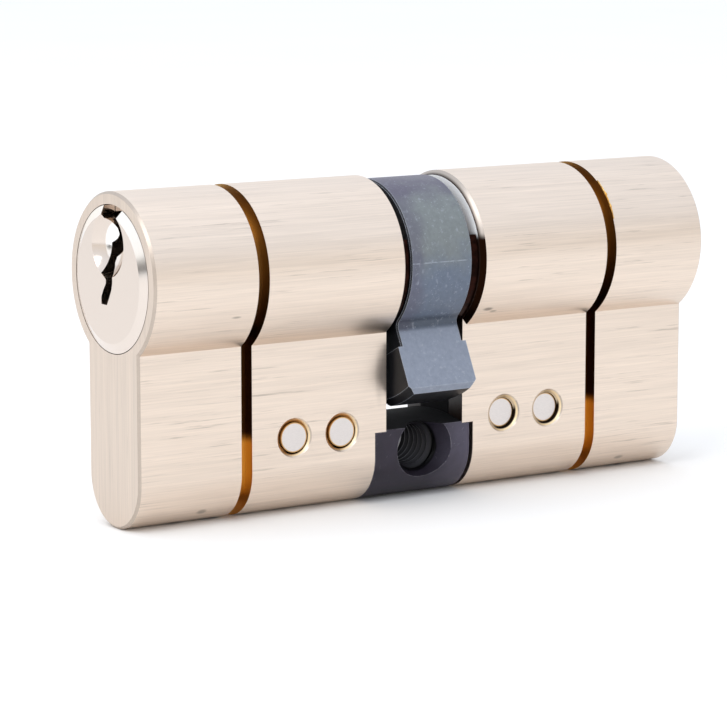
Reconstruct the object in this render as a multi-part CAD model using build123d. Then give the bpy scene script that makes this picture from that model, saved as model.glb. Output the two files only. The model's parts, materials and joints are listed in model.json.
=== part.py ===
from build123d import *
import os
from math import cos, radians, sin, sqrt

# A double euro-profile lock cylinder of the modular, snap-resistant kind, in millimetres.
#
# Everything is modelled about the axis of the two plugs, with X along the cylinder, Y across it and
# Z up, and is raised by SCREW_DROP when it is written, which puts the origin on the axis of the
# fixing screw. A side's pieces are modelled once, pointing along +X: side b keeps them as they are,
# and side a is the same pieces turned half round about Z, so that one key fits both sides.

# Euro profile: a round head on a leg with a round foot
HEAD_RADIUS = 8.5
LEG_WIDTH = 10.0
PROFILE_HEIGHT = 33.0
HALF_LENGTH = 33.05  # mid-length to an end face
END_CHAMFER = 0.25
LEG_BOTTOM = HEAD_RADIUS - PROFILE_HEIGHT
LEG_SIDE = LEG_WIDTH / 2

# Slot between the halves, where the cam turns
SLOT_HALF_WIDTH = 4.65
SLOT_EDGE_CHAMFER = {"a": 0.08, "b": 0.5}  # side a is left nearly sharp

# Plug, the part that the key turns
HEAD_WALL = 2.0
PLUG_RADIUS = HEAD_RADIUS - HEAD_WALL
PLUG_BORE_GAP = 0.05
BORE_RADIUS = PLUG_RADIUS + PLUG_BORE_GAP
PLUG_REAR = 1.55  # mid-length to the plug's rear end, inside the cam
FLANGE_STEP = 0.7
FLANGE_RADIUS = PLUG_RADIUS + FLANGE_STEP
FLANGE_THICKNESS = 1.2
FLANGE_GAP = 0.08
FLANGE_FLOOR_GAP = 0.04
PLUG_PROUD = 0.4
PLUG_BEVEL = 1.0
FACE = HALF_LENGTH + PLUG_PROUD
PLUG_HOLE_TOP = 1.0  # where the pin holes in the plug end

# Key entry: a scoop, a notch above it, and the warded keyway in (Y, Z)
SCOOP_RADIUS = 4.2
SCOOP_MOUTH_RADIUS = 3.2
SCOOP_HEIGHT = 3.4
ENTRY_NOTCH_DEPTH = 1.5
KEYWAY_LEFT = -1.38
KEYWAY_RIGHT = 1.0
KEYWAY_BOTTOM = -2.5
KEYWAY_TOP = FLANGE_RADIUS + 0.8  # open through the rim
KEYWAY_OUTLINE = (
    (KEYWAY_LEFT, KEYWAY_BOTTOM),
    (KEYWAY_LEFT, -1.8),
    (-1.05, -1.2),
    (-0.45, -0.4),
    (-0.45, 0.0),
    (KEYWAY_LEFT, 0.5),
    (KEYWAY_LEFT, 3.4),
    (-0.55, 3.85),
    (-0.1, 4.3),
    (-0.1, 4.9),
    (-0.75, 5.6),
    (KEYWAY_LEFT, 5.85),
    (KEYWAY_LEFT, KEYWAY_TOP),
    (KEYWAY_RIGHT, KEYWAY_TOP),
    (KEYWAY_RIGHT, 3.1),
    (0.4, 2.6),
    (-0.4, 2.1),
    (-0.4, 1.55),
    (0.2, 0.8),
    (0.85, 0.3),
    (0.85, -0.25),
    (0.65, -0.95),
    (0.2, -1.75),
    (-0.28, KEYWAY_BOTTOM),
)
ENTRY_NOTCH_OUTLINE = (
    (KEYWAY_LEFT, 5.8),
    (KEYWAY_LEFT, KEYWAY_TOP),
    (3.3, KEYWAY_TOP),
    (2.35, 6.95),
    (1.65, 6.05),
    (KEYWAY_RIGHT, 5.8),
)

# Snap groove round each half
GROOVE_FROM_FACE = 12.05
GROOVE_WIDTH = 1.2
GROOVE_DEPTH = 1.3
GROOVE_PLACE = HALF_LENGTH - GROOVE_FROM_FACE

# Pin chambers, numbered from the end face inwards
CHAMBER_COUNT = 5
FIRST_CHAMBER = 5.75  # end face to the first chamber
CHAMBER_PITCH = 4.2
CHAMBER_RADIUS = 1.45
CHAMBER_PLUG_LENGTH = 2.3
CHAMBER_PLUG_SINK = {"a": {2: 0.5}, "b": {1: 0.5}}  # the plugs that lie below the foot, by number
PIN_PLACES = [HALF_LENGTH - FIRST_CHAMBER - CHAMBER_PITCH * i for i in range(CHAMBER_COUNT)]

# Key pins, driver pins and springs
PIN_GAP = 0.05
PIN_RADIUS = CHAMBER_RADIUS - PIN_GAP
KEY_PIN_LENGTHS = (5.0, 6.3, 5.4, 6.8, 4.6)
SHEAR_GAP = 0.03  # from the bore to a driver pin, and twice that inside the plug to a key pin
KEY_PIN_FOOT = 2 * SHEAR_GAP - PLUG_RADIUS
KEY_PIN_TIP_HEIGHT = 1.0
KEY_PIN_TIP_RADIUS = 0.35
KEY_PIN_FOOT_CHAMFER = 0.35
DRIVER_TOP = -SHEAR_GAP - BORE_RADIUS
DRIVER_LENGTH = 3.6
DRIVER_CHAMFER = 0.2
SPRING_GAP = 0.15
SPRING_OUTER_RADIUS = CHAMBER_RADIUS - SPRING_GAP
SPRING_WIRE_RADIUS = 0.17
SPRING_PITCH = 1.0

# Cam: a ring with a slotted web inside it and a lever below
CAM_HALF_WIDTH = 3.7
CAM_WALL = 1.6
CAM_RADIUS = PLUG_RADIUS + CAM_WALL
CAM_BORE_GAP = 0.05
CAM_WEB_HALF_WIDTH = 1.45
CAM_EDGE_CHAMFER = 0.15
LEVER_FRONT = 2.0  # the lever's faces, from the plane through the axis
LEVER_BACK = 3.2
LEVER_HALF_WIDTH = 4.1
LEVER_STEP_RADIUS = 10.2
LEVER_TIP_RADIUS = 15.2
LEVER_ANGLE = 26.6  # from straight down, towards the front
LEVER_ROOT_FILLET = 0.8
LEVER_CORNER_CHAMFER = 0.7
LEVER_FRONT_CHAMFER = 0.45

# Bridge: a steel block with a tongue into each half. Its heights are above the foot.
SCREW_HEIGHT = 5.3
SCREW_DROP = -LEG_BOTTOM - SCREW_HEIGHT  # plug axis down to the fixing-screw axis
SCREW_RADIUS = 2.5  # M5
SCREW_FLARE_RADIUS = 3.3
SCREW_FLARE_DEPTH = 2.0
BLOCK_LENGTH = 11.6
BLOCK_SHIFT = -0.15
BLOCK_POCKET_HALF_WIDTH = 6.0
BLOCK_SHOULDER = LEG_BOTTOM + 7.5
BLOCK_GAP = 0.05
BLOCK_EDGE_CHAMFER = 0.15
LEVER_CLEARANCE = 1.05  # from the lever's path to the crown of the neck
NECK_CROWN_RADIUS = 21.0
TONGUE_WIDTH = 5.0
TONGUE_BOTTOM = LEG_BOTTOM + 3.5
TONGUE_TOP = LEG_BOTTOM + 10.3
TONGUE_REACH = GROOVE_PLACE - GROOVE_WIDTH / 2  # mid-length to the tip of a tongue
TONGUE_GAP = 0.05

# Cross pins that hold the tongues
CROSS_PIN_RADIUS = 1.5
CROSS_PIN_PLACES = (9.9, 15.5)
CROSS_PIN_Z = LEG_BOTTOM + 8.0
CROSS_PIN_FRONT_SINK = {"a": 0.15, "b": 0.6}  # how far the ends lie below the leg's sides
CROSS_PIN_BACK_SINK = 0.3
CROSS_PIN_FLARE_RADIUS = 2.0
CROSS_PIN_FLARE_DEPTH = 0.5

# Circlips, one between the cam and each half
CLIP_SEAT_DEPTH = 0.6
CLIP_STAND = 1.3
CLIP_INNER_RADIUS = PLUG_RADIUS - CLIP_SEAT_DEPTH
CLIP_OUTER_RADIUS = PLUG_RADIUS + CLIP_STAND
CLIP_THICKNESS = 0.8
CLIP_MIDDLE = (CAM_HALF_WIDTH + SLOT_HALF_WIDTH) / 2
CLIP_OPENING = 140.0
CLIP_SEAT_GAP = 0.05

# Clutch: a blade in each plug, of which one at a time reaches into the cam
DOG_THICKNESS = 3.0
DOG_WALL = 1.0  # plug left above and below a blade
DOG_HALF_HEIGHT = PLUG_RADIUS - DOG_WALL
DOG_LENGTH = 5.8
DOG_GAP = 0.05
DOG_INNER_END = {"a": -1.4, "b": 1.5}  # engaged on side a, drawn back on side b

FAR = 60.0  # past the whole cylinder, for cuts that run right through


def x_span(sketch, start, end):
    """Extrude a sketch drawn in (Y, Z) from one X to another."""
    return extrude(Plane.YZ.offset(start) * sketch, end - start)


def block(x, y, z):
    """A box from three (low, high) pairs."""
    middle = [(low + high) / 2 for low, high in (x, y, z)]
    return Pos(*middle) * Box(*[high - low for low, high in (x, y, z)])


def x_rod(radius, start, end):
    """A cylinder along X."""
    return x_span(Circle(radius), start, end)


def x_reach(start, end):
    """Everything between two X."""
    return block((start, end), (-FAR, FAR), (-FAR, FAR))


def y_rod(radius, x, z, start, end):
    """A cylinder along Y, at (x, z)."""
    return Pos(x, (start + end) / 2, z) * Rot(90, 0, 0) * Cylinder(radius, end - start)


def y_hole(radius, flare_radius, flare_depth, x, z):
    """A hole through the leg along Y, at (x, z), with a conical mouth on each side."""
    hole = y_rod(radius, x, z, -LEG_WIDTH, LEG_WIDTH)
    for side, turn in ((-1, 90), (1, -90)):
        middle = side * (LEG_SIDE - flare_depth / 2)
        hole += Pos(x, middle, z) * Rot(turn, 0, 0) * Cone(radius, flare_radius, flare_depth)
    return hole


def z_rod(radius, x, bottom, top):
    """A cylinder along Z, on the centre plane at x."""
    return Pos(x, 0, (bottom + top) / 2) * Cylinder(radius, top - bottom)


def profile(inset=0.0):
    """The euro profile in (Y, Z), pulled in by inset."""
    foot_radius = LEG_SIDE - inset
    foot_z = LEG_BOTTOM + LEG_SIDE
    leg = Pos(0, foot_z / 2) * Rectangle(2 * foot_radius, -foot_z)
    return Circle(HEAD_RADIUS - inset) + leg + Pos(0, foot_z) * Circle(foot_radius)


def snap_groove():
    """What the snap groove removes, all round the profile."""
    start = GROOVE_PLACE - GROOVE_WIDTH / 2
    end = start + GROOVE_WIDTH
    return x_span(profile(-1.0), start, end) - x_span(profile(GROOVE_DEPTH), start, end)


def tongue(start, gap=0.0):
    """The bridge's tongue into one side, or with a gap, its pocket."""
    return block(
        (start, TONGUE_REACH + gap),
        (-TONGUE_WIDTH / 2 - gap, TONGUE_WIDTH / 2 + gap),
        (TONGUE_BOTTOM - gap, TONGUE_TOP + gap),
    )


def body_half(side):
    """One brass half of the body, from the cam slot to the end face."""
    half = x_span(profile(), SLOT_HALF_WIDTH, HALF_LENGTH)
    half = chamfer(half.faces().sort_by(Axis.X)[-1].outer_wire().edges(), END_CHAMFER)
    rim = half.faces().sort_by(Axis.X)[0].edges().filter_by(GeomType.CIRCLE).sort_by(Axis.Z)[-1]
    half = chamfer(rim, SLOT_EDGE_CHAMFER[side])
    half -= x_rod(BORE_RADIUS, 0, FAR)
    half -= x_rod(FLANGE_RADIUS + FLANGE_GAP, HALF_LENGTH - FLANGE_THICKNESS - FLANGE_FLOOR_GAP, FAR)
    half -= block((0, BLOCK_POCKET_HALF_WIDTH), (-FAR, FAR), (-FAR, BLOCK_SHOULDER))
    half -= tongue(0, TONGUE_GAP)
    half -= snap_groove()
    for x in PIN_PLACES:
        half -= z_rod(CHAMBER_RADIUS, x, LEG_BOTTOM - 1, 0)
    for x in CROSS_PIN_PLACES:
        half -= y_hole(CROSS_PIN_RADIUS, CROSS_PIN_FLARE_RADIUS, CROSS_PIN_FLARE_DEPTH, x, CROSS_PIN_Z)
    return half


def bridge():
    """The steel block below the cam, with its tongues and the fixing-screw hole."""
    low = BLOCK_SHIFT - BLOCK_LENGTH / 2
    high = low + BLOCK_LENGTH
    neck = SLOT_HALF_WIDTH - BLOCK_GAP
    solid = x_span(profile(), low, high)
    for end in (solid.faces().sort_by(Axis.X)[0], solid.faces().sort_by(Axis.X)[-1]):
        solid = chamfer(end.outer_wire().edges(), BLOCK_EDGE_CHAMFER)
    solid &= block((low, high), (-FAR, FAR), (-FAR, BLOCK_SHOULDER - BLOCK_GAP))
    crown = -LEVER_TIP_RADIUS - LEVER_CLEARANCE
    top = Pos(0, 0, crown - NECK_CROWN_RADIUS) * x_rod(NECK_CROWN_RADIUS, -neck, neck)
    solid += x_span(profile(), -neck, neck) & top
    for turn in (0, 180):
        solid += Rot(0, 0, turn) * tongue(neck)
        for x in CROSS_PIN_PLACES:
            solid -= Rot(0, 0, turn) * y_rod(CROSS_PIN_RADIUS, x, CROSS_PIN_Z, -LEG_SIDE, LEG_SIDE)
    return solid - y_hole(SCREW_RADIUS, SCREW_FLARE_RADIUS, SCREW_FLARE_DEPTH, 0, -SCREW_DROP)


def cross_pins(side):
    """The pins that hold a tongue, before they are turned to their side."""
    front = -LEG_SIDE + CROSS_PIN_FRONT_SINK[side]
    back = LEG_SIDE - CROSS_PIN_BACK_SINK
    low, high = (front, back) if side == "b" else (-back, -front)
    return [y_rod(CROSS_PIN_RADIUS, x, CROSS_PIN_Z, low, high) for x in CROSS_PIN_PLACES]


def chamber_plugs(side):
    """The plugs that close the chambers from below, filed to the leg's round foot."""
    plugs = []
    foot = x_span(profile(), 0, HALF_LENGTH)
    for number, x in enumerate(PIN_PLACES, 1):
        sink = CHAMBER_PLUG_SINK[side].get(number, 0)
        rod = z_rod(CHAMBER_RADIUS, x, LEG_BOTTOM - 1, LEG_BOTTOM + CHAMBER_PLUG_LENGTH)
        plugs.append(rod & (Pos(0, 0, sink) * foot))
    return plugs


def key_entry():
    """What the keyway, the scooped entry and the notch above it remove from a plug."""
    keyway = x_span(make_face(Polyline(*KEYWAY_OUTLINE, close=True)), PLUG_REAR, FACE + 1)
    notch = x_span(
        make_face(Polyline(*ENTRY_NOTCH_OUTLINE, close=True)), FACE - ENTRY_NOTCH_DEPTH, FACE + 1
    )
    scoop_centre = FACE + sqrt(SCOOP_RADIUS**2 - SCOOP_MOUTH_RADIUS**2)
    scoop = Pos(scoop_centre, 0, SCOOP_HEIGHT) * Sphere(SCOOP_RADIUS)
    return keyway + notch + scoop


def plug():
    """One plug: shaft, flange and bevelled face, cut for the key, pins, clip and clutch."""
    flange_start = HALF_LENGTH - FLANGE_THICKNESS
    solid = x_rod(PLUG_RADIUS, PLUG_REAR, HALF_LENGTH)
    solid += x_rod(FLANGE_RADIUS, flange_start, HALF_LENGTH)
    bevel = Rot(0, 90, 0) * Cone(FLANGE_RADIUS, FLANGE_RADIUS - PLUG_BEVEL, PLUG_PROUD)
    solid += Pos(HALF_LENGTH + PLUG_PROUD / 2, 0, 0) * bevel
    seat_half = CLIP_THICKNESS / 2 + CLIP_SEAT_GAP
    seat_ring = Circle(FLANGE_RADIUS) - Circle(CLIP_INNER_RADIUS - CLIP_SEAT_GAP)
    solid -= x_span(seat_ring, CLIP_MIDDLE - seat_half, CLIP_MIDDLE + seat_half)
    slot_half = DOG_THICKNESS / 2 + DOG_GAP
    slot_end = DOG_INNER_END["b"] + DOG_LENGTH + 2 * DOG_GAP
    slot_reach = DOG_HALF_HEIGHT + DOG_GAP
    solid -= block((0, slot_end), (-slot_half, slot_half), (-slot_reach, slot_reach))
    solid -= key_entry()
    for x in PIN_PLACES:
        solid -= z_rod(CHAMBER_RADIUS, x, -PLUG_RADIUS - 1, PLUG_HOLE_TOP)
    return solid


def circlip():
    """An open ring in the plug's groove, between the cam and the half."""
    ring = Circle(CLIP_OUTER_RADIUS) - Circle(CLIP_INNER_RADIUS)
    reach = 2 * CLIP_OUTER_RADIUS
    half_open = radians(CLIP_OPENING / 2)
    side = reach * sin(half_open)
    corner = reach * cos(half_open)
    corners = ((0, 0), (side, corner), (side, reach), (-side, reach), (-side, corner))
    mouth = make_face(Polyline(*corners, close=True))
    start = CLIP_MIDDLE - CLIP_THICKNESS / 2
    return x_span(ring - mouth, start, start + CLIP_THICKNESS)


def clutch_dog(side):
    """The sliding blade that joins a plug to the cam."""
    start = DOG_INNER_END[side]
    half = DOG_THICKNESS / 2
    blade = block((start, start + DOG_LENGTH), (-half, half), (-FAR, FAR))
    return blade & x_rod(DOG_HALF_HEIGHT, start, start + DOG_LENGTH)


def lever_pad():
    """The wide outer part of the cam's lever, straight down, with its edges eased."""
    pad = block(
        (-LEVER_HALF_WIDTH, LEVER_HALF_WIDTH),
        (-LEVER_FRONT, LEVER_BACK),
        (-FAR, -LEVER_STEP_RADIUS),
    )
    pad &= x_rod(LEVER_TIP_RADIUS, -LEVER_HALF_WIDTH, LEVER_HALF_WIDTH)
    tip = pad.faces().filter_by(GeomType.CYLINDER)
    pad = chamfer(tip.edges().filter_by(GeomType.CIRCLE), LEVER_CORNER_CHAMFER)
    for end, size in ((0, LEVER_FRONT_CHAMFER), (-1, CAM_EDGE_CHAMFER)):
        tip = pad.faces().filter_by(GeomType.CYLINDER)
        pad = chamfer(tip.edges().filter_by(GeomType.LINE).sort_by(Axis.Y)[end], size)
    return pad


def cam():
    """The cam: a ring round both plugs' rear ends, a slotted web and the lever."""
    lever = block(
        (-CAM_HALF_WIDTH, CAM_HALF_WIDTH),
        (-LEVER_FRONT, LEVER_BACK),
        (-LEVER_STEP_RADIUS - 0.5, -PLUG_RADIUS),
    )
    solid = x_rod(CAM_RADIUS, -CAM_HALF_WIDTH, CAM_HALF_WIDTH) + lever
    roots = solid.edges().filter_by(Axis.X).filter_by(lambda edge: -CAM_RADIUS < edge.center().Z < 0)
    solid = fillet(roots, LEVER_ROOT_FILLET)
    rims = solid.edges().filter_by(GeomType.CIRCLE).filter_by(lambda edge: edge.radius == CAM_RADIUS)
    solid = chamfer(rims, CAM_EDGE_CHAMFER)
    solid = Rot(-LEVER_ANGLE, 0, 0) * (solid + lever_pad())
    bore = x_rod(PLUG_RADIUS + CAM_BORE_GAP, -CAM_HALF_WIDTH, CAM_HALF_WIDTH)
    solid -= bore - x_reach(-CAM_WEB_HALF_WIDTH, CAM_WEB_HALF_WIDTH)
    slot_half = DOG_THICKNESS / 2 + DOG_GAP
    slot_reach = DOG_HALF_HEIGHT + DOG_GAP
    slot = block((-CAM_HALF_WIDTH, CAM_HALF_WIDTH), (-slot_half, slot_half), (-slot_reach, slot_reach))
    return solid - slot


def key_pin(place, length):
    """A key pin on the shear line, with its cone up and its foot eased."""
    top = KEY_PIN_FOOT + length
    outline = Polyline(
        (0, KEY_PIN_FOOT),
        (PIN_RADIUS - KEY_PIN_FOOT_CHAMFER, KEY_PIN_FOOT),
        (PIN_RADIUS, KEY_PIN_FOOT + KEY_PIN_FOOT_CHAMFER),
        (PIN_RADIUS, top - KEY_PIN_TIP_HEIGHT),
        (KEY_PIN_TIP_RADIUS, top),
        (0, top),
        close=True,
    )
    return Pos(place, 0, 0) * revolve(Plane.XZ * make_face(outline), Axis.Z)


def driver_pin(place):
    """A driver pin just below the shear line."""
    rod = z_rod(PIN_RADIUS, place, DRIVER_TOP - DRIVER_LENGTH, DRIVER_TOP)
    return chamfer(rod.edges().filter_by(GeomType.CIRCLE), DRIVER_CHAMFER)


def spring(place, seat):
    """A compression spring from its seat up to the driver pin."""
    length = DRIVER_TOP - DRIVER_LENGTH - seat
    coil_radius = SPRING_OUTER_RADIUS - SPRING_WIRE_RADIUS
    turns = round(length / SPRING_PITCH)
    rise = length - 2 * SPRING_WIRE_RADIUS
    path = Helix(pitch=rise / turns, height=rise, radius=coil_radius)
    wire = Plane(origin=path @ 0, z_dir=path % 0) * Circle(SPRING_WIRE_RADIUS)
    coil = sweep(wire, path=path, is_frenet=True)
    return Pos(place, 0, seat + SPRING_WIRE_RADIUS) * coil


def spring_seat(place):
    """The tongue's top where the tongue lies under the chamber, else the chamber plug's."""
    if place - SPRING_OUTER_RADIUS < TONGUE_REACH:
        return TONGUE_TOP
    return LEG_BOTTOM + CHAMBER_PLUG_LENGTH


def side_pieces(side):
    """Every piece of one side, by node name, pointing along +X."""
    pieces = {
        f"body_half_{side}": body_half(side),
        f"cross_pins_{side}": cross_pins(side),
        f"chamber_plugs_{side}": chamber_plugs(side),
        f"plug_{side}": plug(),
        f"circlip_{side}": circlip(),
        f"clutch_dog_{side}": clutch_dog(side),
    }
    for number, (place, length) in enumerate(zip(PIN_PLACES, KEY_PIN_LENGTHS), 1):
        pieces[f"key_pin_{side}_{number}"] = key_pin(place, length)
        pieces[f"driver_pin_{side}_{number}"] = driver_pin(place)
        pieces[f"pin_spring_{side}_{number}"] = spring(place, spring_seat(place))
    return pieces


def placed(shape, turn):
    """A piece, or a group of pieces, in the row's frame."""
    place = Pos(0, 0, SCREW_DROP) * Rot(0, 0, turn)
    if isinstance(shape, list):
        return Compound(children=[place * solid for item in shape for solid in item.solids()])
    return place * shape


os.makedirs("parts", exist_ok=True)
export_step(placed(bridge(), 0), "parts/bridge.step")
export_step(placed(cam(), 0), "parts/cam.step")
for side, turn in (("a", 180), ("b", 0)):
    for node, shape in side_pieces(side).items():
        export_step(placed(shape, turn), f"parts/{node}.step")
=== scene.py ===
"""A modular euro-profile lock cylinder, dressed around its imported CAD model.

The CAD nodes keep their shapes and get finishes made of shader nodes. What the CAD leaves out, such as the
screw thread and the burrs of the machining, is built here as small meshes that ride on the CAD bodies.
Lengths are in millimetres until they reach a mesh or a lamp, which are in metres.
"""

import json
import logging
import math
from dataclasses import dataclass, field
from enum import Enum

import bmesh
import bpy
from mathutils import Matrix, Vector


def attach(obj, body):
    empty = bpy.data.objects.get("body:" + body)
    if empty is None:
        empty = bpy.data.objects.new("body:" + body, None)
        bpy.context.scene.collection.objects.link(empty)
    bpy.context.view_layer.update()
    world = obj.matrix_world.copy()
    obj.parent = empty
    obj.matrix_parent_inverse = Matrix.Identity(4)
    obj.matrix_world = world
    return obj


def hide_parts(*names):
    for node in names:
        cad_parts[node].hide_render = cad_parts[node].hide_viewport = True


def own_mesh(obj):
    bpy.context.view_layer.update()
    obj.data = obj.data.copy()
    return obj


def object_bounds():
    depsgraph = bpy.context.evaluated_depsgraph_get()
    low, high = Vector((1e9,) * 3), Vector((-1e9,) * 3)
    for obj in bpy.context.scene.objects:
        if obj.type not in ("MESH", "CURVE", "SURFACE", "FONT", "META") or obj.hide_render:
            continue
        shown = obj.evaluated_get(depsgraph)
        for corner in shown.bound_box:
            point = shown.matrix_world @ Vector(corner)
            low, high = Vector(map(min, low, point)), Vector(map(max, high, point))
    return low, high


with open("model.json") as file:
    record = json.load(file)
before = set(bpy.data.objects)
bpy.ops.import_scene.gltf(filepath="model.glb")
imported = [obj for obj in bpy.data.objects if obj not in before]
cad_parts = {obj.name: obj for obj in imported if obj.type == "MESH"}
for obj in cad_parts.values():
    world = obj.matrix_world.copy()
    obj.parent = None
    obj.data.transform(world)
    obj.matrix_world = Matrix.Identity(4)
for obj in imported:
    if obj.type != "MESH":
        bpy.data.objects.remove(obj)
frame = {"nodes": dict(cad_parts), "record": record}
CAD_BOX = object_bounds()

MM = 0.001
MERGE_DISTANCE = 1e-5  # millimetres
FLOOR_GAP = 0.01  # millimetres between the foot and the floor
FRONT_LIMIT = -2.0  # marks lie only in front of this Y, in millimetres
MARK_CORE = 0.3  # of a mark's half size, inside which it is at its darkest
WORN_MATCH = (0.93, 0.995)  # how alike the true and the rounded normal are on an edge and off it
log = logging.getLogger("euro_cylinder")


class Slot(Enum):
    """The record's material slots."""

    NICKEL_BODY = "nickel_body"
    NICKEL_PLUG = "nickel_plug"
    STEEL_PINS = "steel_pins"
    BRASS_PLUGS = "brass_plugs"
    BRASS_PINS = "brass_pins"
    SPRING_STEEL = "spring_steel"
    SPRING_WIRE = "spring_wire"
    BLACK_STEEL = "black_steel"
    CAM_STEEL = "cam_steel"


# ---------------------------------------------------------------------------------------------------------
# Shader nodes
# ---------------------------------------------------------------------------------------------------------


def linear(colour: str) -> tuple[float, float, float, float]:
    """Turns an sRGB hex colour into the linear RGBA that shaders take.

    Args:
        colour: a colour such as "#E6D6CB".

    Returns:
        Linear red, green, blue and an alpha of 1.
    """
    parts = [int(colour[i : i + 2], 16) / 255 for i in (1, 3, 5)]
    bent = [c / 12.92 if c <= 0.04045 else ((c + 0.055) / 1.055) ** 2.4 for c in parts]
    return (bent[0], bent[1], bent[2], 1.0)


def add_node(
    tree: bpy.types.NodeTree, kind: str, *inputs: object, **settings: object
) -> bpy.types.NodeSocket:
    """Adds one shader node with its settings and links.

    Args:
        tree: the node tree to add to.
        kind: the node's type name, without its "ShaderNode" prefix.
        inputs: a value, a hex colour or a socket for each input in use, in order. None leaves one as it is.
        settings: the node's own properties.

    Returns:
        The node's first output that is in use.
    """
    node = tree.nodes.new("ShaderNode" + kind)
    for name, value in settings.items():
        setattr(node, name, value)
    for socket, value in zip([s for s in node.inputs if s.enabled], inputs):
        if isinstance(value, bpy.types.NodeSocket):
            tree.links.new(value, socket)
        elif value is not None:
            socket.default_value = linear(value) if isinstance(value, str) else value
    return next(s for s in node.outputs if s.enabled)


class Painter:
    """Builds the patterns that the finishes share, on one material's node tree.

    All patterns read Object coordinates in millimetres, because every piece's object sits at the origin.
    """

    def __init__(self, name: str) -> None:
        """Starts an empty material.

        Args:
            name: the material's name.
        """
        self.material = bpy.data.materials.new(name)
        self.material.use_nodes = True
        self.tree = self.material.node_tree
        self.shader = self.tree.nodes["Principled BSDF"]
        source = self.tree.nodes.new("ShaderNodeTexCoord")
        self.place = self.add("VectorMath", source.outputs["Object"], 1 / MM, operation="SCALE")
        self.x, self.y, self.z = self.add("SeparateXYZ", self.place).node.outputs
        facing = self.add("VectorMath", source.outputs["Normal"], operation="ABSOLUTE")
        self.facing_x, self.facing_y, self.facing_z = self.add("SeparateXYZ", facing).node.outputs

    def add(self, kind: str, *inputs: object, **settings: object) -> bpy.types.NodeSocket:
        """Adds a node to this material, as add_node does."""
        return add_node(self.tree, kind, *inputs, **settings)

    def fade(
        self, value: bpy.types.NodeSocket, low: float, high: float, start: float = 0.0, end: float = 1.0
    ) -> bpy.types.NodeSocket:
        """Carries a pattern smoothly from one strength to another.

        Args:
            value: what the pattern depends on.
            low: the value up to which it is start.
            high: the value from which it is end.
            start: the strength at low.
            end: the strength at high.

        Returns:
            The strength.
        """
        return self.add("MapRange", value, low, high, start, end, interpolation_type="SMOOTHSTEP")

    def band(self, value: bpy.types.NodeSocket, low: float, high: float, soft: float) -> bpy.types.NodeSocket:
        """Gives 1 where a value lies from low to high, and 0 past soft edges."""
        after = self.fade(value, low - soft, low)
        before = self.fade(value, high, high + soft, 1.0, 0.0)
        return self.add("Math", after, before, operation="MULTIPLY")

    def grain(
        self,
        size: tuple[float, float, float],
        detail: float = 3.0,
        roughness: float = 0.55,
        turn: tuple[float, float, float] = (0.0, 0.0, 0.0),
        shift: float = 0.0,
    ) -> bpy.types.NodeSocket:
        """Gives noise whose grains have a real size.

        Args:
            size: a grain's size along X, Y and Z, in millimetres.
            detail: how many finer octaves it has.
            roughness: how strong the finer octaves are.
            turn: turns the pattern, in radians.
            shift: moves the pattern, so that two patterns differ.

        Returns:
            Noise from 0 to 1, mostly near 0.5.
        """
        turned = self.add("Mapping", self.place, None, turn)
        mapped = self.add("Mapping", turned, (shift, shift, shift), None, [1 / s for s in size])
        return self.add("TexNoise", mapped, 1.0, detail, roughness)

    def spot(self, mark: "Mark") -> bpy.types.NodeSocket:
        """Gives a mark's darkness on the front of the object, and 0 away from it."""
        away = self.add("VectorMath", self.place, (mark.x, 0.0, mark.z), operation="SUBTRACT")
        scale = (2 / mark.width, 0.0, 2 / mark.height)
        away = self.add("VectorMath", away, scale, operation="MULTIPLY")
        away = self.add("VectorMath", away, operation="LENGTH")
        inside = self.fade(away, MARK_CORE, 1.0, mark.darkness, 0.0)
        front = self.add("Math", self.y, FRONT_LIMIT, operation="LESS_THAN")
        return self.add("Math", inside, front, operation="MULTIPLY")

    def sharp_edge(self, width: float) -> bpy.types.NodeSocket:
        """Finds sharp edges, where a thin skin wears off first; the cam's finish also lays a painted
        highlight on them.

        Args:
            width: how wide the worn band is, in millimetres.

        Returns:
            1 on an edge, falling to 0 beside it.
        """
        rounded = self.add("Bevel", width * MM, samples=6)
        true = self.tree.nodes.new("ShaderNodeNewGeometry").outputs["Normal"]
        match = self.add("VectorMath", rounded, true, operation="DOT_PRODUCT")
        return self.fade(match, *WORN_MATCH, 1.0, 0.0)

    def relief(self, height: bpy.types.NodeSocket, depth: float, strength: float = 1.0) -> None:
        """Turns a height into bump.

        Args:
            height: a value whose full range is the depth.
            depth: in millimetres.
            strength: how much of the bump is used.
        """
        bump = self.add("Bump", strength, depth * MM, None, height)
        self.tree.links.new(bump, self.shader.inputs["Normal"])

    def finish(self, **sockets: object) -> bpy.types.Material:
        """Sets the shader's sockets by name, with spaces as underscores.

        Args:
            sockets: values, hex colours or sockets to link from.

        Returns:
            The finished material.
        """
        for name, value in sockets.items():
            socket = self.shader.inputs[name.replace("_", " ")]
            if isinstance(value, bpy.types.NodeSocket):
                self.tree.links.new(value, socket)
            else:
                socket.default_value = linear(value) if isinstance(value, str) else value
        return self.material


# ---------------------------------------------------------------------------------------------------------
# Finishes
# ---------------------------------------------------------------------------------------------------------


@dataclass(frozen=True)
class Bore:
    """A drilled mouth in the leg, about an axis along Y."""

    x: float
    z: float
    radius: float


@dataclass(frozen=True)
class Mark:
    """A knock, smudge or speck on the front, or a patch of painted shadow, in millimetres, with its darkness
    from 0 to 1.
    """

    x: float
    z: float
    width: float
    height: float
    darkness: float


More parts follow.
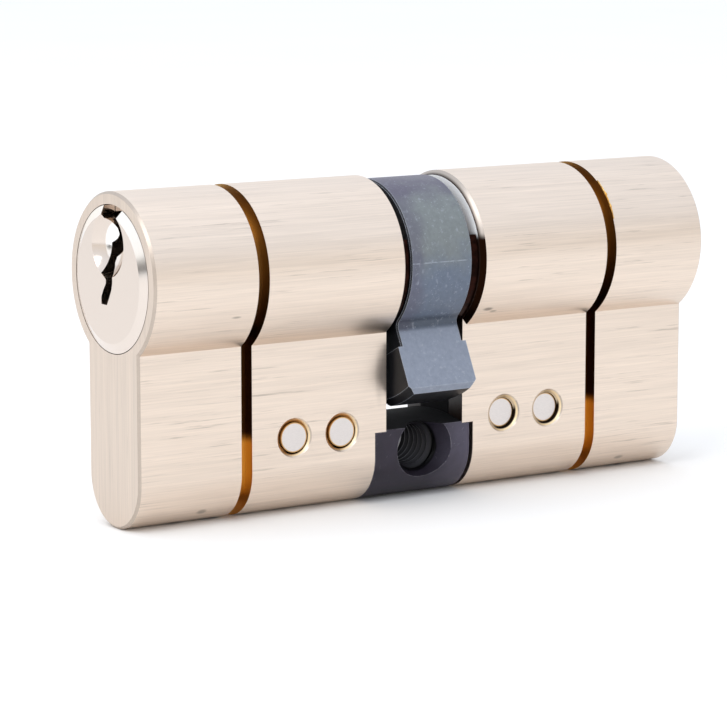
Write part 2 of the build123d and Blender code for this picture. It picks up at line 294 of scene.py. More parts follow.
@dataclass(frozen=True)
class SatinNickel:
    """Nickel plate on brass that was linished along its length, then cut through to bare brass.

    The belt leaves long fine lines and a few deeper dark ones. The snap grooves and the mouths of the pin
    holes were cut after plating, so they show yellow brass. The grooves' brass carries painted shade, darkest
    in the leg, and painted light that makes it golden at the top of the head and at the foot.
    """

    colour: str = "#E5D5C6"
    mouth_brass: str = "#F5DDB4"
    cone_brass: str = "#D8C2A4"
    hole_shadow: str = "#160E08"
    # painted light and shade in the grooves: lit at the head's top, shaded down the leg, lit again at the
    # foot
    lit_head_groove: str = "#B08A50"
    shaded_leg_groove: str = "#5A3A1C"
    lit_foot_groove: str = "#DCAC5C"
    # painted highlight: the faces beside the cam are painted white; painted shade: the dark colour below a
    # height there and along the inner side of side b's edge
    slot_face_highlight: str = "#FFFFFF"
    slot_edge: str = "#B3A9A0"
    edge_shade: str = "#1C0D06"
    line_width: float = 0.16  # real belt lines are about 0.03 mm, drawn coarser so that they show
    line_length: float = 9.0
    streak_width: float = 0.55
    streak_length: float = 22.0
    line_contrast: float = 0.30
    streak_contrast: float = 0.22
    base_brightness: float = 0.74
    score_darkness: float = 0.32
    # painted shade: the end faces are darker than the sides by this factor
    end_face_shade: float = 0.86  # of the end faces, against the sides
    end_score: float = 0.4  # how much of the scoring the end faces keep
    chamfer_facing: tuple[float, float] = (0.6, 0.8)  # of a chamfer's normal along X
    # painted shade on the chamfers, which dulls their highlight
    chamfer_shade: float = 0.28
    groove_place: float = 21.0
    groove_half_width: float = 0.6
    groove_margin: float = 0.002
    slot_half_width: float = 4.65
    slot_chamfer: float = 0.5
    hole_radius: float = 1.5
    hole_margin: tuple[float, float] = (0.02, 0.06)
    wall_depth: tuple[float, float] = (0.2, 0.1)  # of the brass wall, inwards from the mouth
    shadow_side: tuple[float, float] = (0.6, -0.8)  # along X and Z, towards the dark crescent
    shadow_reach: tuple[float, float] = (0.2, 0.9)
    head_bottom: float = 12.3
    head_height: float = 15.0
    # where the painted light at the foot fades out
    foot_fade: tuple[float, float] = (2.4, 3.7)
    # where the painted shade on the faces beside the cam begins, how soft it is, and how far it reaches along
    # the edge
    shade_top: float = 21.7
    shade_soft: float = 0.4
    edge_shade_width: float = 0.35
    bores: tuple[Bore, ...] = ()
    marks: tuple[Mark, ...] = ()

    def material(self) -> bpy.types.Material:
        """Builds the material."""
        p = Painter("satin_nickel")
        endways = p.fade(p.facing_x, *self.chamfer_facing)
        lines = self._lines(p, endways, self.line_length, self.line_width, 0.0)
        streaks = self._lines(p, endways, self.streak_length, self.streak_width, 3.7)
        scored = self._scored(p, endways)
        bright = p.add("Math", lines, self.line_contrast, self.base_brightness, operation="MULTIPLY_ADD")
        bright = p.add("Math", streaks, self.streak_contrast, bright, operation="MULTIPLY_ADD")
        # painted shade on the end faces
        plain = p.fade(endways, 0.0, 1.0, 1.0, self.end_face_shade)
        dark = p.add("Math", scored, -self.score_darkness, plain, operation="MULTIPLY_ADD")
        for mark in self.marks:
            dark = p.add("Math", dark, p.spot(mark), operation="SUBTRACT")
        bright = p.add("Math", bright, dark, operation="MULTIPLY")
        # painted shade on the chamfers
        chamfer = p.band(p.facing_x, *self.chamfer_facing, 0.05)
        shaded_chamfer = p.add("Math", chamfer, -self.chamfer_shade, 1.0, operation="MULTIPLY_ADD")
        bright = p.add("Math", bright, shaded_chamfer, operation="MULTIPLY")
        plate = p.add("VectorMath", linear(self.colour)[:3], bright, operation="SCALE")
        colour = self._grooves(p, plate)
        colour = self._mouths(p, colour)
        colour, face = self._slot(p, colour)
        rough = p.add("Math", lines, 0.12, 0.28, operation="MULTIPLY_ADD")
        height = p.add("Math", scored, -0.8, lines, operation="MULTIPLY_ADD")
        p.relief(height, 0.012, 0.4)
        metal = p.add("Math", 1.0, face, operation="SUBTRACT")
        return p.finish(Base_Color=colour, Metallic=metal, Roughness=rough)

    def _lines(
        self, p: Painter, endways: bpy.types.NodeSocket, length: float, width: float, shift: float
    ) -> bpy.types.NodeSocket:
        """Gives belt lines along the length on the sides, and up and down on the end faces.

        Args:
            p: the painter.
            endways: 1 on an end face.
            length: a line's length, in millimetres.
            width: its width, in millimetres.
            shift: moves the pattern.

        Returns:
            The lines' brightness, from 0 to 1.
        """
        sides = p.grain((length, width, width), 3.0, 0.6, shift=shift)
        ends = p.grain((width, width, length), 3.0, 0.6, shift=shift)
        return p.add("Mix", endways, sides, ends, data_type="FLOAT")

    def _scored(self, p: Painter, endways: bpy.types.NodeSocket) -> bpy.types.NodeSocket:
        """Gives the few deeper lines, which come in patches."""
        fine = p.fade(self._lines(p, endways, 7.0, 0.2, 7.3), 0.58, 0.74)
        patches = p.fade(p.grain((14.0, 3.0, 3.0), 2.0), 0.4, 0.62, 0.25, 1.0)
        fine = p.add("Math", fine, patches, operation="MULTIPLY")
        return p.add("Math", fine, p.fade(endways, 0.0, 1.0, 1.0, self.end_score), operation="MULTIPLY")

    def _grooves(self, p: Painter, plate: bpy.types.NodeSocket) -> bpy.types.NodeSocket:
        """Lays the grooves' bare brass over the plate, with painted shade darkening it downwards.

        Painted light makes it golden at the top of the head and again at the foot.
        """
        top = self.head_bottom + self.head_height
        upwards = p.fade(p.z, self.head_bottom, top)
        brass = p.add("Mix", upwards, self.shaded_leg_groove, self.lit_head_groove, data_type="RGBA")
        low = p.fade(p.z, *self.foot_fade, 1.0, 0.0)
        brass = p.add("Mix", low, brass, self.lit_foot_groove, data_type="RGBA")
        reach = p.add("Math", p.x, operation="ABSOLUTE")
        half = self.groove_half_width + self.groove_margin
        inside = p.band(reach, self.groove_place - half, self.groove_place + half, self.groove_margin)
        return p.add("Mix", inside, plate, brass, data_type="RGBA")

    def _mouths(self, p: Painter, colour: bpy.types.NodeSocket) -> bpy.types.NodeSocket:
        """Lays a bright brass ring at each pin, and painted shadow in its hole and on one side of its cone.
        """
        inside: bpy.types.NodeSocket | float = 0.0
        deep_shade: bpy.types.NodeSocket | float = 0.0
        cone: bpy.types.NodeSocket | float = 0.0
        flat = p.add("VectorMath", p.place, (1.0, 0.0, 1.0), operation="MULTIPLY")
        side_x, side_z = self.shadow_side
        across = p.add("VectorMath", flat, (side_x, 0.0, side_z), operation="DOT_PRODUCT")
        for bore in self.bores:
            away = p.add("VectorMath", flat, (bore.x, 0.0, bore.z), operation="DISTANCE")
            ring = p.fade(away, bore.radius, bore.radius + 0.03, 1.0, 0.0)
            wall = p.fade(away, *(bore.radius - depth for depth in self.wall_depth), 1.0, 0.0)
            hole = p.fade(away, *(self.hole_radius + margin for margin in self.hole_margin), 1.0, 0.0)
            middle = side_x * bore.x + side_z * bore.z
            low = p.fade(across, *(middle + reach for reach in self.shadow_reach))
            hole = p.add("Math", hole, p.add("Math", wall, low, operation="MULTIPLY"), operation="MAXIMUM")
            inside = p.add("Math", inside, ring, operation="MAXIMUM")
            cone = p.add("Math", cone, wall, operation="MAXIMUM")
            deep_shade = p.add("Math", deep_shade, hole, operation="MAXIMUM")
        colour = p.add("Mix", inside, colour, self.mouth_brass, data_type="RGBA")
        colour = p.add("Mix", cone, colour, self.cone_brass, data_type="RGBA")
        return p.add("Mix", deep_shade, colour, self.hole_shadow, data_type="RGBA")

    def _slot(
        self, p: Painter, colour: bpy.types.NodeSocket
    ) -> tuple[bpy.types.NodeSocket, bpy.types.NodeSocket]:
        """Paints the faces beside the cam white, a painted highlight, and side b's turned edge round them
        grey.

        Painted shade darkens the faces and the edge below a height, and the edge along its inner side.

        Args:
            p: the painter.
            colour: what is laid over.

        Returns:
            The new colour, and 1 on the faces.
        """
        reach = p.add("Math", p.x, operation="ABSOLUTE")
        face = p.fade(reach, self.slot_half_width + 0.005, self.slot_half_width + 0.01, 1.0, 0.0)
        chamfer_end = self.slot_half_width + self.slot_chamfer
        edge = p.fade(reach, chamfer_end, chamfer_end + 0.01, 1.0, 0.0)
        edge = p.add("Math", edge, p.band(p.facing_x, *self.chamfer_facing, 0.02), operation="MULTIPLY")
        edge = p.add("Math", edge, p.add("Math", p.x, 0.0, operation="GREATER_THAN"), operation="MULTIPLY")
        # painted shade below a height, and along the inner side of side b's edge
        shaded_below = p.fade(p.z, self.shade_top - self.shade_soft, self.shade_top + self.shade_soft, 1.0, 0.0)
        bare = p.fade(reach, self.slot_half_width, self.slot_half_width + self.edge_shade_width)
        rim = p.add("Mix", bare, self.edge_shade, self.slot_edge, data_type="RGBA")
        rim = p.add("Mix", shaded_below, rim, self.edge_shade, data_type="RGBA")
        colour = p.add("Mix", edge, colour, rim, data_type="RGBA")
        inner = p.add("Mix", shaded_below, self.slot_face_highlight, self.edge_shade, data_type="RGBA")
        return p.add("Mix", face, colour, inner, data_type="RGBA"), face


@dataclass(frozen=True)
class PolishedNickel:
    """Turned brass, polished and nickel plated: a mirror with faint turning lines.

    Its bevel is painted nearly white above a height, a painted highlight.
    """

    colour: str = "#DCCFC4"
    # the bevel's colours below and above a height; the upper one, nearly white, is a painted highlight
    low_bevel: str = "#E2D6CC"
    bevel: str = "#FFFBF6"
    bevel_height: float = 21.0  # where its colour changes
    bevel_soft: float = 1.5
    bevel_facing: tuple[float, float] = (0.88, 0.97)  # of the bevel's normal along X
    haze: float = 0.10

    def material(self) -> bpy.types.Material:
        """Builds the material."""
        p = Painter("polished_nickel")
        cloud = p.grain((2.2, 2.2, 2.2), 3.0)
        fine = p.grain((0.3, 0.09, 0.5), 2.0)
        bright = p.add("Math", fine, 0.05, 0.965, operation="MULTIPLY_ADD")
        high = p.fade(p.z, self.bevel_height - self.bevel_soft, self.bevel_height + self.bevel_soft)
        bevel = p.add("Mix", high, self.low_bevel, self.bevel, data_type="RGBA")
        on_bevel = p.band(p.facing_x, *self.bevel_facing, 0.02)
        colour = p.add("Mix", on_bevel, self.colour, bevel, data_type="RGBA")
        colour = p.add("VectorMath", colour, bright, operation="SCALE")
        rough = p.add("Math", cloud, 0.08, self.haze, operation="MULTIPLY_ADD")
        p.relief(fine, 0.002, 0.25)
        return p.finish(Base_Color=colour, Metallic=1.0, Roughness=rough)


@dataclass(frozen=True)
class BlackOxide:
    """Milled steel, chemically blackened: a matt purple-black skin that rubs grey on its edges.

    Painted shade blackens the roots of the thread and the neck above a height.
    """

    colour: str = "#2D2833"
    pale: str = "#4C4856"
    # the colour of the painted shade in the thread's roots and on the neck
    deep_shade: str = "#08070A"
    thread: str = "#1B191F"
    worn: str = "#8A8790"
    metal: float = 0.45
    hole_radius: float = 2.55
    flank_radius: float = 2.45
    crest_radius: float = 2.2
    neck_bottom: float = 2.3
    soft: float = 0.1  # how wide the change of colour is at an edge
    rub_width: float = 0.09
    scratch_size: tuple[float, float, float] = (0.9, 0.08, 0.07)
    scratch_turn: float = 0.7  # radians about Y

    def material(self) -> bpy.types.Material:
        """Builds the material."""
        p = Painter("black_oxide")
        cloud = p.grain((1.6, 1.6, 1.6), 4.0)
        fine = p.grain((0.12, 0.5, 0.9), 3.0, shift=3.1)
        skin = p.add("Mix", p.fade(p.x, 0.5, 5.0), self.colour, self.pale, data_type="RGBA")
        tone = p.add("Math", cloud, 0.8, 0.6, operation="MULTIPLY_ADD")
        skin = p.add("VectorMath", skin, tone, operation="SCALE")
        slanted = p.grain(self.scratch_size, 2.0, turn=(0.0, self.scratch_turn, 0.0), shift=6.0)
        scratch = p.fade(slanted, 0.70, 0.76, 0.0, 0.7)
        rubbed = p.add("Math", p.sharp_edge(self.rub_width), p.fade(fine, 0.35, 0.6), operation="MULTIPLY")
        rubbed = p.add("Math", rubbed, scratch, operation="MAXIMUM")
        colour = p.add("Mix", rubbed, skin, self.worn, data_type="RGBA")
        flat = p.add("VectorMath", p.place, (1.0, 0.0, 1.0), operation="MULTIPLY")
        out = p.add("VectorMath", flat, operation="LENGTH")
        crest = p.fade(out, self.crest_radius, self.flank_radius, 1.0, 0.0)
        inside = p.add("Mix", crest, self.deep_shade, self.thread, data_type="RGBA")
        outside = p.fade(out, self.hole_radius, self.hole_radius + self.soft)
        colour = p.add("Mix", outside, inside, colour, data_type="RGBA")
        # painted shade on the neck above a height
        neck = p.fade(p.z, self.neck_bottom, self.neck_bottom + self.soft)
        colour = p.add("Mix", neck, colour, self.deep_shade, data_type="RGBA")
        rough = p.add("Math", cloud, 0.2, 0.32, operation="MULTIPLY_ADD")
        rough = p.add("Math", neck, 0.5, rough, operation="MULTIPLY_ADD")
        p.relief(fine, 0.006, 0.3)
        return p.finish(Base_Color=colour, Metallic=self.metal, Roughness=rough)


@dataclass(frozen=True)
class WornOxide:
    """Sintered steel with a thin blue-grey oxide, handled and scratched, bright on its edges.

    The bright edges are partly wear and partly a painted highlight. The colour bands by height are partly the
    oxide's tint and partly painted shade, darker low on the ring; the lever is painted lighter, partly as
    painted light where it faces up. Painted shade blackens the sides and the faces below, and darkens the
    corner where the lever leaves the ring.
    """

    green: str = "#767C7D"
    blue: str = "#626C7C"
    violet: str = "#5A5767"
    lever: str = "#848B99"
    # painted shade, near black, on the sides and the faces below
    shaded_faces: str = "#101116"
    # the colour of scratches and of the bright edges, which are partly wear and partly a painted highlight
    scratch: str = "#B4B9C4"
    metal: float = 0.35
    ring_scratch_height: float = 19.42
    ring_scratch_width: float = 0.06
    lever_top: float = 12.2
    # painted shade in the corner where the lever leaves the ring
    corner_shade: float = 0.45  # in the corner where the lever leaves the ring
    rub_width: float = 0.1
    wear_and_highlight_strength: float = 0.75

    def material(self) -> bpy.types.Material:
        """Builds the material."""
        p = Painter("worn_oxide")
        cloud = p.grain((2.8, 2.8, 2.8), 3.0)
        mottle = p.grain((0.5, 0.5, 0.5), 4.0, shift=2.0)
        # colour bands by height: partly the oxide's tint, partly painted shade that darkens the lower ring
        drift = p.add("Math", cloud, 5.0, p.z, operation="MULTIPLY_ADD")
        skin = p.add("Mix", p.fade(drift, 20.0, 24.5), self.blue, self.green, data_type="RGBA")
        skin = p.add("Mix", p.fade(drift, 27.0, 30.0), skin, self.violet, data_type="RGBA")
        left = p.fade(p.add("Math", cloud, 3.0, p.x, operation="MULTIPLY_ADD"), -1.6, 0.4, 0.6, 0.0)
        skin = p.add("Mix", left, skin, self.violet, data_type="RGBA")
        # the lever is painted lighter, partly as painted light where it faces up and forward
        below = p.fade(p.z, self.lever_top, self.lever_top + 0.5, 1.0, 0.0)
        skin = p.add("Mix", below, skin, self.lever, data_type="RGBA")
        # painted shade in the corner below the ring
        corner = p.band(p.z, self.lever_top + 0.6, self.lever_top + 1.2, 0.6)
        shaded = p.add("Math", corner, -self.corner_shade, 1.0, operation="MULTIPLY_ADD")
        tone = p.add("Math", mottle, 0.44, 0.78, operation="MULTIPLY_ADD")
        tone = p.add("Math", tone, shaded, operation="MULTIPLY")
        skin = p.add("VectorMath", skin, tone, operation="SCALE")
        # painted shade on the sides and the faces below, where no scratches are laid
        shaded_faces = self._shaded_faces(p)
        skin = p.add("Mix", shaded_faces, skin, self.shaded_faces, data_type="RGBA")
        rubbed = p.add("Math", self._scratches(p), shaded_faces, operation="SUBTRACT")
        # bright edges: partly wear, partly a painted highlight
        worn = p.add("Math", rubbed, p.sharp_edge(self.rub_width), operation="MAXIMUM")
        wear_and_edge_highlight = p.add("Math", worn, self.wear_and_highlight_strength, operation="MULTIPLY")
        colour = p.add("Mix", wear_and_edge_highlight, skin, self.scratch, data_type="RGBA")
        rough = p.add("Math", mottle, 0.2, 0.34, operation="MULTIPLY_ADD")
        p.relief(p.add("Math", worn, -0.4, mottle, operation="MULTIPLY_ADD"), 0.008, 0.35)
        return p.finish(Base_Color=colour, Metallic=self.metal, Roughness=rough)

    def _shaded_faces(self, p: Painter) -> bpy.types.NodeSocket:
        """Finds the sides and the faces below, which are painted near black as painted shade."""
        side = p.fade(p.facing_x, 0.55, 0.65)
        normal = p.tree.nodes.new("ShaderNodeTexCoord").outputs["Normal"]
        down = p.fade(p.add("SeparateXYZ", normal).node.outputs["Z"], -0.85, -0.7, 1.0, 0.0)
        return p.add("Math", side, down, operation="MAXIMUM")

    def _scratches(self, p: Painter) -> bpy.types.NodeSocket:
        """Gives fine specks, slanted scratches, and the one long scratch across the ring's front."""
        specks = p.fade(p.grain((0.16, 0.14, 0.14), 1.0, shift=5.0), 0.70, 0.78, 0.0, 0.7)
        slanted = p.fade(p.grain((1.3, 0.1, 0.1), 2.0, turn=(0.5, 0.9, 0.3), shift=9.0), 0.70, 0.77, 0.0, 0.8)
        line = p.band(p.z, self.ring_scratch_height, self.ring_scratch_height + self.ring_scratch_width, 0.05)
        broken = p.fade(p.grain((0.7, 0.3, 0.3), 2.0, shift=1.0), 0.40, 0.55)
        line = p.add("Math", line, broken, operation="MULTIPLY")
        line = p.add("Math", line, 0.55, operation="MULTIPLY")
        rubs = p.fade(p.grain((0.5, 0.35, 0.8), 3.0, shift=12.0), 0.58, 0.74, 0.0, 0.35)
        worn = p.add("Math", specks, slanted, operation="MAXIMUM")
        worn = p.add("Math", worn, rubs, operation="MAXIMUM")
        return p.add("Math", worn, line, operation="MAXIMUM")


@dataclass(frozen=True)
class TurnedMetal:
    """Bare metal off a small lathe: fine rings and a soft shine."""

    label: str
    colour: str
    rough: float = 0.28
    tarnish: str = ""

    def material(self) -> bpy.types.Material:
        """Builds the material."""
        p = Painter(self.label)
        fine = p.grain((0.25, 0.25, 0.07), 2.0)
        cloud = p.grain((0.9, 0.9, 0.9), 3.0, shift=4.0)
        stained = p.fade(cloud, 0.42, 0.66)
        colour = p.add("Mix", stained, self.colour, self.tarnish or self.colour, data_type="RGBA")
        bright = p.add("Math", fine, 0.2, 0.88, operation="MULTIPLY_ADD")
        colour = p.add("VectorMath", colour, bright, operation="SCALE")
        rough = p.add("Math", cloud, 0.16, self.rough - 0.08, operation="MULTIPLY_ADD")
        p.relief(fine, 0.004, 0.3)
        return p.finish(Base_Color=colour, Metallic=1.0, Roughness=rough)


@dataclass(frozen=True)
class CrossPinSteel:
    """Hardened steel pins, ground to length: pale satin ends with a brass-coloured edge."""

    colour: str = "#DDD6D2"
    edge: str = "#C79C62"
    end_radius: float = 1.36
    edge_soft: float = 0.08
    end_depth: float = 4.0  # from the middle of the leg, where the edge colour starts
    depth_soft: float = 0.1
    bores: tuple[Bore, ...] = ()

    def material(self) -> bpy.types.Material:
        """Builds the material."""
        p = Painter("cross_pin_steel")
        fine = p.grain((0.3, 0.3, 0.07), 3.0)
        bright = p.add("Math", fine, 0.2, 0.88, operation="MULTIPLY_ADD")
        flat = p.add("VectorMath", p.place, (1.0, 0.0, 1.0), operation="MULTIPLY")
        outside: bpy.types.NodeSocket | float = 1.0
        for bore in self.bores:
            away = p.add("VectorMath", flat, (bore.x, 0.0, bore.z), operation="DISTANCE")
            far = p.fade(away, self.end_radius, self.end_radius + self.edge_soft)
            outside = p.add("Math", outside, far, operation="MINIMUM")
        depth = p.add("Math", p.y, operation="ABSOLUTE")
        near_end = p.fade(depth, self.end_depth, self.end_depth + self.depth_soft)
        outside = p.add("Math", outside, near_end, operation="MULTIPLY")
        colour = p.add("Mix", outside, self.colour, self.edge, data_type="RGBA")
        colour = p.add("VectorMath", colour, bright, operation="SCALE")
        rough = p.add("Math", fine, 0.15, 0.26, operation="MULTIPLY_ADD")
        p.relief(fine, 0.003, 0.3)
        return p.finish(Base_Color=colour, Metallic=1.0, Roughness=rough)


# ---------------------------------------------------------------------------------------------------------
# Pieces
# ---------------------------------------------------------------------------------------------------------


def make_piece(
    name: str, mesh: bmesh.types.BMesh, material: bpy.types.Material, smooth: bool = True
) -> bpy.types.Object:
    """Turns a finished bmesh, in millimetres, into an object.

    Args:
        name: the piece's name.
        mesh: its shape, which is freed.
        material: its finish.
        smooth: whether its faces are shaded smooth.

    Returns:
        The object, at the origin.
    """
    bmesh.ops.remove_doubles(mesh, verts=mesh.verts, dist=MERGE_DISTANCE)
    bmesh.ops.recalc_face_normals(mesh, faces=mesh.faces)
    bmesh.ops.scale(mesh, vec=(MM, MM, MM), verts=mesh.verts)
    for face in mesh.faces:
        face.smooth = smooth
    data = bpy.data.meshes.new(name)
    mesh.to_mesh(data)
    mesh.free()
    data.materials.append(material)
    piece = bpy.data.objects.new(name, data)
    bpy.context.scene.collection.objects.link(piece)
    return piece


def mount(piece: bpy.types.Object, body: str) -> None:
    """Fixes a new piece to its CAD body and reports it."""
    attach(piece, body)
    log.info("%s rides on %s, %d faces", piece.name, body, len(piece.data.polygons))


def dress(node: str, material: bpy.types.Material) -> None:
    """Gives a CAD node its finish and reports it."""
    materials = frame["nodes"][node].data.materials
    materials.clear()
    materials.append(material)
    log.info("%s is finished in %s", node, material.name)


@dataclass
class ScrewThread:
    """The M5 thread of the fixing-screw hole, cut between the hole's two flared mouths."""

    pitch: float = 0.8
    crest_radius: float = 2.1
    wall_radius: float = 2.5
    half_length: float = 3.1
    crest_half_width: float = 0.05
    root_half_width: float = 0.36
    sunk: float = 0.03  # into the wall, so that no seam shows
    steps_per_turn: int = 40
    run_out: float = 0.7  # at each end, where the tooth sinks into the wall

    def build(self, material: bpy.types.Material) -> bpy.types.Object:
        """Spins the thread's tooth into a helix along Y and closes its ends.

        Args:
            material: the finish of the hole.

        Returns:
            The thread, standing for no CAD node.
        """
        mesh = bmesh.new()
        turns = 2 * self.half_length / self.pitch
        steps = round(turns * self.steps_per_turn)
        root = self.wall_radius + self.sunk
        corners = [
            (root, -self.root_half_width),
            (self.crest_radius, -self.crest_half_width),
            (self.crest_radius, self.crest_half_width),
            (root, self.root_half_width),
        ]
        tooth = [mesh.verts.new((radius, along - self.half_length, 0)) for radius, along in corners]
        start = mesh.faces.new(tooth)
        mesh.faces.ensure_lookup_table()
        bmesh.ops.spin(
            mesh,
            geom=[start, *start.edges, *start.verts],
            axis=(0, 1, 0),
            cent=(0, 0, 0),
            dvec=(0, 2 * self.half_length / steps, 0),
            angle=2 * math.pi * turns,
            steps=steps,
            use_duplicate=False,
        )
        for vertex in mesh.verts:
            radius = math.hypot(vertex.co.x, vertex.co.z)
            full = min(1.0, max(0.0, (self.half_length - abs(vertex.co.y)) / self.run_out))
            grown = root - (root - radius) * full
            vertex.co.x *= grown / radius
            vertex.co.z *= grown / radius
        return make_piece("screw_thread", mesh, material, smooth=False)


@dataclass
class GrooveBurr:
    """A curl of brass that the cutter left on the outer lip of side b's snap groove."""

    lip: float = 21.6
    axis_height: float = 19.2
    radius: float = 8.47
    height: float = 0.2
    width: float = 0.42
    start: float = 36.0  # degrees from the top, towards the front
    sweep: float = 32.0
    steps: int = 48
    mean_width: float = 0.55  # share of the width, about which it waves
    wave_rates: tuple[float, float] = (0.9, 0.37)  # radians per degree
    least_width: float = 0.05

    def build(self, material: bpy.types.Material) -> bpy.types.Object:
        """Spins a thin wedge along the lip, and thins it towards both ends.

        Args:
            material: the finish of cut brass.

        Returns:
            The burr, standing for no CAD node.
        """
        mesh = bmesh.new()
        corners = ((0.0, 0.0), (self.width, 0.0), (self.width * 0.3, self.height))
        top = self.axis_height + self.radius
        wedge = [mesh.verts.new((self.lip + along, 0, top + up)) for along, up in corners]
        first = mesh.faces.new(wedge)
        centre = Vector((self.lip, 0, self.axis_height))
        bmesh.ops.rotate(
            mesh, verts=wedge, cent=centre, matrix=Matrix.Rotation(math.radians(self.start), 3, "X")
        )
        bmesh.ops.spin(
            mesh,
            geom=[first, *first.edges, *wedge],
            axis=(1, 0, 0),
            cent=centre,
            dvec=(0, 0, 0),
            angle=math.radians(self.sweep),
            steps=self.steps,
            use_duplicate=False,
        )
        for vertex in mesh.verts:
            turned = math.degrees(math.atan2(-vertex.co.y, vertex.co.z - self.axis_height)) - self.start
            ripple = math.prod(math.sin(turned * rate) for rate in self.wave_rates)
            wave = self.mean_width + (1 - self.mean_width) * ripple
            part = min(1.0, max(0.0, turned / self.sweep))
            full = wave * max(self.least_width, math.sin(math.pi * part))
            vertex.co.x = self.lip + (vertex.co.x - self.lip) * full
        return make_piece("groove_burr", mesh, material)


@dataclass
class PinSprings:
    """The springs under the driver pins, which shorten as their drivers go down.

    These copies stay fixed to the body.
    """

    travel: float = 1.4  # a driver's whole drop

    def build(self, material: bpy.types.Material) -> None:
        """Copies each spring, merges the copy's triangles, fixes the copy to the body and hides the CAD
        spring.

        Args:
            material: the finish of the wire.
        """
        for node in sorted(name for name in frame["nodes"] if name.startswith("pin_spring")):
            mesh = bmesh.new()
            mesh.from_mesh(frame["nodes"][node].data)
            bmesh.ops.scale(mesh, vec=(1 / MM, 1 / MM, 1 / MM), verts=mesh.verts)
            coil = make_piece(node.replace("pin_spring", "coil"), mesh, material)
            mount(coil, "body")
            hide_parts(node)
            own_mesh(coil)


@dataclass(frozen=True)
class Lamp:
    """A soft square lamp, with its place and side in millimetres and its power in watts."""

    name: str
    place: tuple[float, float, float]
    size: float
    power: float
    colour: str


@dataclass
class Studio:
    """A white tent: a pale floor, soft lamps above and in front, and the camera."""

    azimuth: float = 33.08
    elevation: float = 9.2825
    distance: float = 312.9
    look_at: tuple[float, float, float] = (-4.127, 0.0, 8.431)
    lens: float = 152.12
    floor_size: float = 4000.0
    floor_colour: str = "#F4F2EF"
    gap_direction: tuple[float, float, float] = (-0.970, 0.240, -0.030)
    gap_edge: tuple[float, float] = (0.980, 0.996)  # cosines of the gap's outer and inner edge
    gap_strength: float = 0.1
    tint_rise: tuple[float, float] = (0.0, 0.5)  # sines of the height where the walls turn cooler
    bright_rise: tuple[float, float] = (0.05, 0.7)  # sines of the height where they grow brighter
    sky_strength: tuple[float, float] = (1.0, 1.26)
    right_reach: tuple[float, float] = (0.50, 0.68)  # along X, where they grow dimmer
    right_strength: tuple[float, float] = (1.02, 0.88)
    floor_tone: tuple[float, float] = (0.985, 1.0)
    floor_grain: float = 90.0
    lamps: tuple[Lamp, ...] = (
        Lamp("key", (-420, -160, 460), 360, 1.1, "#FFFFFF"),
        Lamp("top", (-60, 60, 620), 500, 0.35, "#F8FAFF"),
    )
    clip: tuple[float, float] = (0.01, 50.0)  # metres
    sensor_width: float = 36.0

    def camera(self) -> None:
        """Places the camera on its sight line."""
        turn, rise = math.radians(self.azimuth), math.radians(self.elevation)
        back = Vector((-math.sin(turn) * math.cos(rise), -math.cos(turn) * math.cos(rise), math.sin(rise)))
        data = bpy.data.cameras.new("camera")
        data.lens = self.lens
        data.sensor_width = self.sensor_width
        data.clip_start, data.clip_end = self.clip
        camera = bpy.data.objects.new("camera", data)
        camera.location = (Vector(self.look_at) + back * self.distance) * MM
        camera.rotation_euler = back.to_track_quat("Z", "Y").to_euler()
        bpy.context.scene.collection.objects.link(camera)
        bpy.context.scene.camera = camera

    def floor(self) -> None:
        """Lays the floor just under the foot."""
        mesh = bmesh.new()
        bmesh.ops.create_grid(mesh, x_segments=1, y_segments=1, size=self.floor_size / 2)
        bmesh.ops.translate(mesh, vec=(0, 0, CAD_BOX[0][2] / MM - FLOOR_GAP), verts=mesh.verts)
        p = Painter("floor_paper")
        bright = p.fade(p.grain((self.floor_grain,) * 3), 0.2, 0.8, *self.floor_tone)
        tint = p.add("VectorMath", linear(self.floor_colour)[:3], bright, operation="SCALE")
        paper = p.finish(Base_Color=tint, Roughness=0.9, Specular_IOR_Level=0.1)
        make_piece("floor", mesh, paper, smooth=False)

    def world(self) -> None:
        """Lights the tent's walls, cooler and brighter above, dimmer on the right, with one dark gap."""
        world = bpy.data.worlds.new("tent")
        world.use_nodes = True
        tree = world.node_tree
        direction = tree.nodes.new("ShaderNodeTexCoord").outputs["Generated"]
        right, _, up = add_node(tree, "SeparateXYZ", direction).node.outputs
        height = add_node(tree, "MapRange", up, *self.tint_rise)
        colour = add_node(tree, "Mix", height, "#FFFCF8", "#F0F6FF", data_type="RGBA")
        rise = add_node(tree, "MapRange", up, *self.bright_rise, *self.sky_strength)
        strength = add_node(tree, "MapRange", right, *self.right_reach, *self.right_strength)
        strength = add_node(tree, "Math", strength, rise, operation="MULTIPLY")
        near = add_node(tree, "VectorMath", direction, self.gap_direction, operation="DOT_PRODUCT")
        gap = add_node(tree, "MapRange", near, *self.gap_edge, 1.0, self.gap_strength)
        strength = add_node(tree, "Math", strength, gap, operation="MULTIPLY")
        background = tree.nodes["Background"]
        tree.links.new(colour, background.inputs["Color"])
        tree.links.new(strength, background.inputs["Strength"])
        bpy.context.scene.world = world

    def hang(self, lamp: Lamp) -> None:
        """Hangs one lamp so that it points at the object."""
        data = bpy.data.lights.new(lamp.name, "AREA")
        data.shape = "SQUARE"
        data.size = lamp.size * MM
        data.energy = lamp.power
        data.color = linear(lamp.colour)[:3]
        hung = bpy.data.objects.new(lamp.name, data)
        hung.location = Vector(lamp.place) * MM
        hung.rotation_euler = (Vector(lamp.place) - Vector(self.look_at)).to_track_quat("Z", "Y").to_euler()
        bpy.context.scene.collection.objects.link(hung)

    def build(self) -> None:
        """Builds the whole studio."""
        self.camera()
        self.floor()
        self.world()
        for lamp in self.lamps:
            self.hang(lamp)
        scene = bpy.context.scene
        scene.view_settings.view_transform = "Standard"
        scene.cycles.use_denoising = True


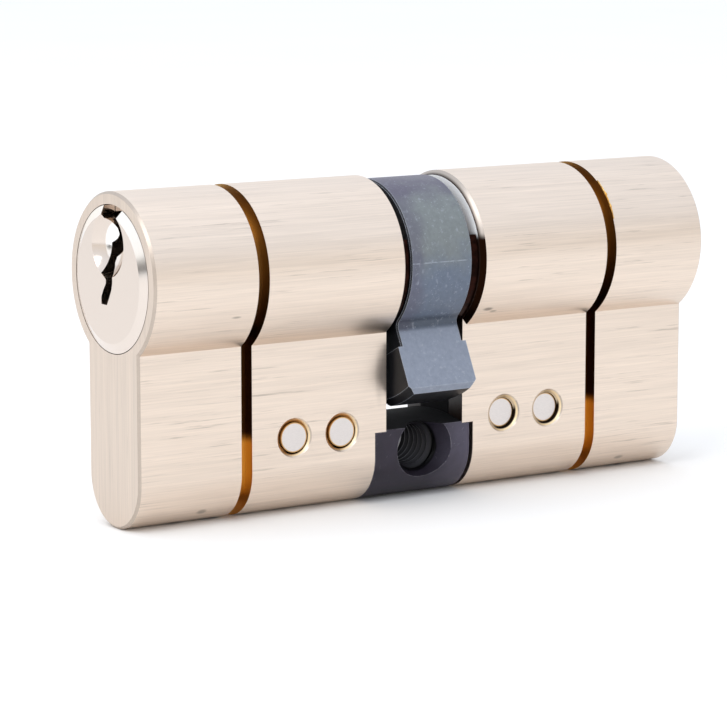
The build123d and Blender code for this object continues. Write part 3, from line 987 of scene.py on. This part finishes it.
@dataclass
class Cylinder:
    """The whole lock cylinder: which finish each slot has, and the added pieces."""

    pin_height: float = 2.7
    pin_mouth_radius: float = 1.86
    pin_places: tuple[float, ...] = (9.9, 15.5)
    marks: tuple[Mark, ...] = (
        Mark(6.6, 14.0, 1.6, 0.5, 0.55),
        Mark(7.4, 13.7, 1.2, 0.3, 0.4),
        Mark(-23.7, 15.7, 1.4, 0.3, 0.4),
        # painted shadow down half a's leg beside the slot
        Mark(-5.5, 8.0, 1.3, 7.5, 0.16),
        Mark(11.2, 2.0, 0.35, 0.3, 0.5),
        Mark(16.9, 2.2, 0.3, 0.3, 0.4),
        Mark(-25.3, -3.9, 1.5, 0.7, 0.45),
        Mark(26.1, -3.9, 1.6, 0.6, 0.4),
    )
    finishes: dict[Slot, bpy.types.Material] = field(default_factory=dict)

    def make_finishes(self) -> None:
        """Makes one material for each slot."""
        bores = tuple(
            Bore(side * x, self.pin_height, self.pin_mouth_radius)
            for side in (-1, 1)
            for x in self.pin_places
        )
        self.finishes = {
            Slot.NICKEL_BODY: SatinNickel(bores=bores, marks=self.marks).material(),
            Slot.NICKEL_PLUG: PolishedNickel().material(),
            Slot.STEEL_PINS: CrossPinSteel(bores=bores).material(),
            Slot.BRASS_PLUGS: TurnedMetal("filed_brass", "#CDBBAE", 0.36, "#A38F86").material(),
            Slot.BRASS_PINS: TurnedMetal("pin_brass", "#D6A557", 0.26, "#B98543").material(),
            Slot.SPRING_STEEL: TurnedMetal("spring_steel", "#2A1510", 0.34, "#160B08").material(),
            Slot.SPRING_WIRE: TurnedMetal("spring_wire", "#C9C8C6", 0.24).material(),
            Slot.BLACK_STEEL: BlackOxide().material(),
            Slot.CAM_STEEL: WornOxide().material(),
        }

    def dress_nodes(self) -> None:
        """Gives every CAD node the finish of its slot."""
        for part in frame["record"]["subparts"]:
            dress(part["node"], self.finishes[Slot(part["material_slot"])])

    def add_pieces(self) -> None:
        """Adds what the CAD leaves out."""
        thread = ScrewThread().build(self.finishes[Slot.BLACK_STEEL])
        mount(thread, "body")
        bright_brass = TurnedMetal("cut_brass", "#F2C878", 0.3, "#E0A850").material()
        burr = GrooveBurr().build(bright_brass)
        mount(burr, "body")
        PinSprings().build(self.finishes[Slot.SPRING_WIRE])

    def build(self) -> None:
        """Builds the cylinder's looks in order."""
        self.make_finishes()
        self.dress_nodes()
        self.add_pieces()


def main() -> None:
    """Builds the studio and the cylinder."""
    logging.basicConfig(level=logging.INFO, format="%(name)s: %(message)s")
    Studio().build()
    Cylinder().build()


if __name__ == "__main__":
    main()
